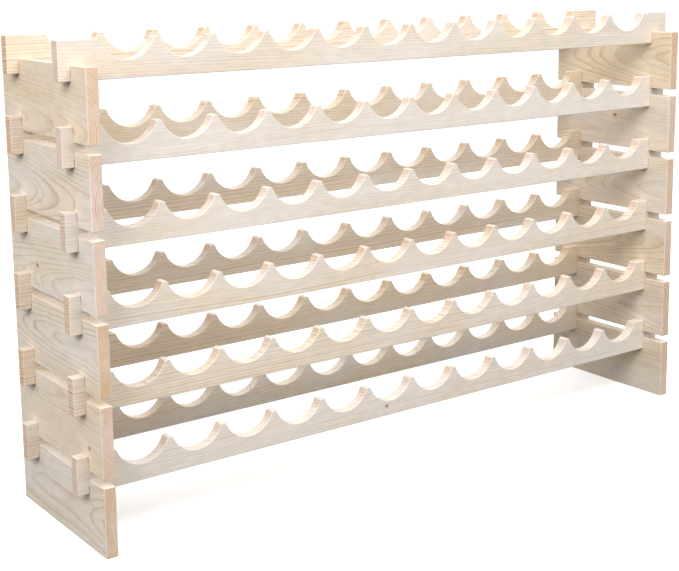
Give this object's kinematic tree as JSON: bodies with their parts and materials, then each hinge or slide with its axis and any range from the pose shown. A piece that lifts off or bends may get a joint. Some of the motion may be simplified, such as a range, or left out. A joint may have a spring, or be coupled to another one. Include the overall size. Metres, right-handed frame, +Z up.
{
  "type": "stacking wine rack",
  "caption": "Long freestanding rack of bare pine for lying wine bottles: scalloped front and rear rails, cross-lapped into stacked side boards.",
  "frame": {"origin": "centre of the rack's footprint, on the floor", "axes": "+X along the rack to the right as seen from the front, +Y from the front, where the bottle necks point, to the back, +Z up"},
  "size_m": [1.194, 0.28, 0.7115],
  "materials": {
    "rail_pine": "bare planed pine, matt, straight grain along the rail",
    "board_pine": "bare planed pine, matt, cathedral grain along the board"
  },
  "bodies": {
    "base_tier": {"left_base_board": "board_pine", "right_base_board": "board_pine", "front_rail_tier_1": "rail_pine", "rear_rail_tier_1": "rail_pine"},
    "tier_2": {"left_board_tier_2": "board_pine", "right_board_tier_2": "board_pine", "front_rail_tier_2": "rail_pine", "rear_rail_tier_2": "rail_pine"},
    "tier_3": {"left_board_tier_3": "board_pine", "right_board_tier_3": "board_pine", "front_rail_tier_3": "rail_pine", "rear_rail_tier_3": "rail_pine"},
    "tier_4": {"left_board_tier_4": "board_pine", "right_board_tier_4": "board_pine", "front_rail_tier_4": "rail_pine", "rear_rail_tier_4": "rail_pine"},
    "tier_5": {"left_board_tier_5": "board_pine", "right_board_tier_5": "board_pine", "front_rail_tier_5": "rail_pine", "rear_rail_tier_5": "rail_pine"},
    "tier_6": {"left_board_tier_6": "board_pine", "right_board_tier_6": "board_pine", "front_rail_top": "rail_pine", "rear_rail_top": "rail_pine"}
  },
  "joints": [
    {"name": "tier_2_lift_off", "type": "slide", "parent": "base_tier", "child": "tier_2", "axis": [0, 0, 1], "range_m": [0, 0.04]},
    {"name": "tier_3_lift_off", "type": "slide", "parent": "tier_2", "child": "tier_3", "axis": [0, 0, 1], "range_m": [0, 0.04]},
    {"name": "tier_4_lift_off", "type": "slide", "parent": "tier_3", "child": "tier_4", "axis": [0, 0, 1], "range_m": [0, 0.04]},
    {"name": "tier_5_lift_off", "type": "slide", "parent": "tier_4", "child": "tier_5", "axis": [0, 0, 1], "range_m": [0, 0.04]},
    {"name": "tier_6_lift_off", "type": "slide", "parent": "tier_5", "child": "tier_6", "axis": [0, 0, 1], "range_m": [0, 0.04]}
  ]
}
